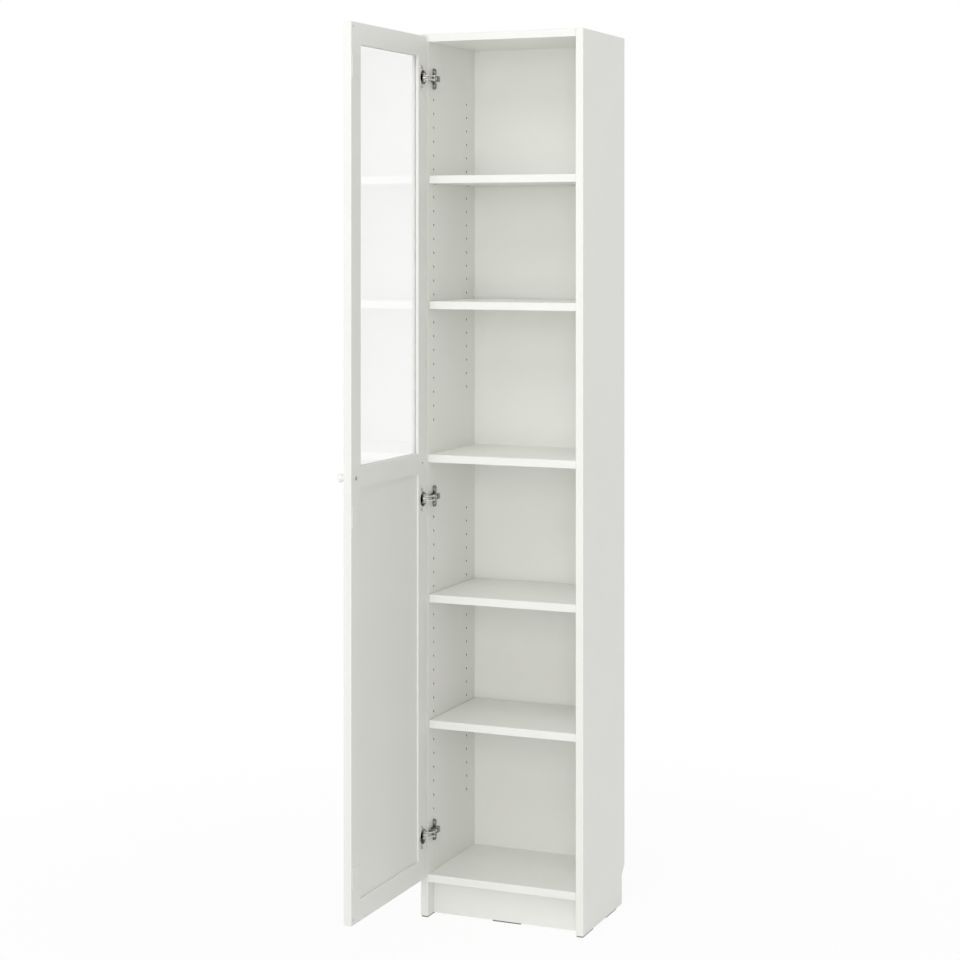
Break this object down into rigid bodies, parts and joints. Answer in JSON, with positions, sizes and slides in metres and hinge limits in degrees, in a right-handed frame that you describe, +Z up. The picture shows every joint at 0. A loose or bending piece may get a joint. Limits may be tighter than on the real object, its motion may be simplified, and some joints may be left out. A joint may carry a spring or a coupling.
{
  "type": "bookcase with glass door",
  "caption": "Tall narrow white bookcase with adjustable shelves and one full-height framed door, glazed above and panelled below, on concealed hinges, shown open.",
  "frame": {"origin": "on the floor under the middle glide of the plinth, at the middle of the width", "axes": "+X to the right seen from the front, +Y to the back, +Z up"},
  "size_m": [0.4164, 0.6807, 2.023],
  "materials": {
    "white_foil": "matt white foil on particleboard",
    "white_back": "white foil on fibreboard",
    "white_lacquer": "satin white",
    "clear_glass": "clear float glass",
    "nickel_steel": "nickel-plated, pressed",
    "grey_plastic": "matt grey",
    "pale_plastic": "matt pale grey"
  },
  "bodies": {
    "carcass": {"side_left": "white_foil", "side_right": "white_foil", "top_panel": "white_foil", "bottom_panel": "white_foil", "plinth_board": "white_foil", "fixed_shelf": "white_foil", "back_panel": "white_back", "glide_left_front": "grey_plastic", "glide_left_rear": "grey_plastic", "glide_right_front": "grey_plastic", "glide_right_rear": "grey_plastic", "glide_plinth": "grey_plastic", "adjustable_shelf_1": "white_foil", "shelf_pin_1_left_front": "nickel_steel", "shelf_pin_1_left_rear": "nickel_steel", "shelf_pin_1_right_front": "nickel_steel", "shelf_pin_1_right_rear": "nickel_steel", "adjustable_shelf_2": "white_foil", "shelf_pin_2_left_front": "nickel_steel", "shelf_pin_2_left_rear": "nickel_steel", "shelf_pin_2_right_front": "nickel_steel", "shelf_pin_2_right_rear": "nickel_steel", "adjustable_shelf_3": "white_foil", "shelf_pin_3_left_front": "nickel_steel", "shelf_pin_3_left_rear": "nickel_steel", "shelf_pin_3_right_front": "nickel_steel", "shelf_pin_3_right_rear": "nickel_steel", "adjustable_shelf_4": "white_foil", "shelf_pin_4_left_front": "nickel_steel", "shelf_pin_4_left_rear": "nickel_steel", "shelf_pin_4_right_front": "nickel_steel", "shelf_pin_4_right_rear": "nickel_steel", "hinge_plate_top": "nickel_steel", "hinge_arm_top": "nickel_steel", "hinge_plate_middle": "nickel_steel", "hinge_arm_middle": "nickel_steel", "hinge_plate_bottom": "nickel_steel", "hinge_arm_bottom": "nickel_steel"},
    "outer_link_top": {"hinge_outer_link_top": "nickel_steel"},
    "inner_link_top": {"hinge_inner_link_top": "nickel_steel"},
    "outer_link_middle": {"hinge_outer_link_middle": "nickel_steel"},
    "inner_link_middle": {"hinge_inner_link_middle": "nickel_steel"},
    "outer_link_bottom": {"hinge_outer_link_bottom": "nickel_steel"},
    "inner_link_bottom": {"hinge_inner_link_bottom": "nickel_steel"},
    "door": {"door_hinge_stile": "white_foil", "door_free_stile": "white_foil", "door_top_rail": "white_foil", "door_middle_rail": "white_foil", "door_bottom_rail": "white_foil", "door_glass": "clear_glass", "door_lower_panel": "white_back", "door_knob": "white_lacquer", "door_knob_screw": "nickel_steel", "cup_cover_top": "pale_plastic", "hinge_cup_top": "nickel_steel", "cup_cover_middle": "pale_plastic", "hinge_cup_middle": "nickel_steel", "cup_cover_bottom": "pale_plastic", "hinge_cup_bottom": "nickel_steel"}
  },
  "joints": [
    {"name": "outer_link_turn_top", "type": "hinge", "parent": "carcass", "child": "outer_link_top", "pos_m": [-0.1625, -0.04345, 1.9218], "axis": [0, 0, -1], "range_deg": [-2.25, 39.56]},
    {"name": "inner_link_turn_top", "type": "hinge", "parent": "carcass", "child": "inner_link_top", "pos_m": [-0.1725, -0.0518, 1.9218], "axis": [0, 0, -1], "range_deg": [-2.81, 49.64]},
    {"name": "outer_link_turn_middle", "type": "hinge", "parent": "carcass", "child": "outer_link_middle", "pos_m": [-0.1625, -0.04345, 0.9618], "axis": [0, 0, -1], "range_deg": [-2.25, 39.56]},
    {"name": "inner_link_turn_middle", "type": "hinge", "parent": "carcass", "child": "inner_link_middle", "pos_m": [-0.1725, -0.0518, 0.9618], "axis": [0, 0, -1], "range_deg": [-2.81, 49.64]},
    {"name": "outer_link_turn_bottom", "type": "hinge", "parent": "carcass", "child": "outer_link_bottom", "pos_m": [-0.1625, -0.04345, 0.1938], "axis": [0, 0, -1], "range_deg": [-2.25, 39.56]},
    {"name": "inner_link_turn_bottom", "type": "hinge", "parent": "carcass", "child": "inner_link_bottom", "pos_m": [-0.1725, -0.0518, 0.1938], "axis": [0, 0, -1], "range_deg": [-2.81, 49.64]},
    {"name": "door_swing", "type": "hinge", "parent": "outer_link_middle", "child": "door", "pos_m": [-0.18018, -0.06004, 0.9618], "axis": [0, 0, -1], "range_deg": [-129.51, 7.2]}
  ],
  "couplings": [
    {"joint": "outer_link_turn_top", "follows": "door_swing", "ratio": -0.30507},
    {"joint": "inner_link_turn_top", "follows": "door_swing", "ratio": -0.3829},
    {"joint": "outer_link_turn_middle", "follows": "door_swing", "ratio": -0.30507},
    {"joint": "inner_link_turn_middle", "follows": "door_swing", "ratio": -0.3829},
    {"joint": "outer_link_turn_bottom", "follows": "door_swing", "ratio": -0.30507},
    {"joint": "inner_link_turn_bottom", "follows": "door_swing", "ratio": -0.3829}
  ]
}
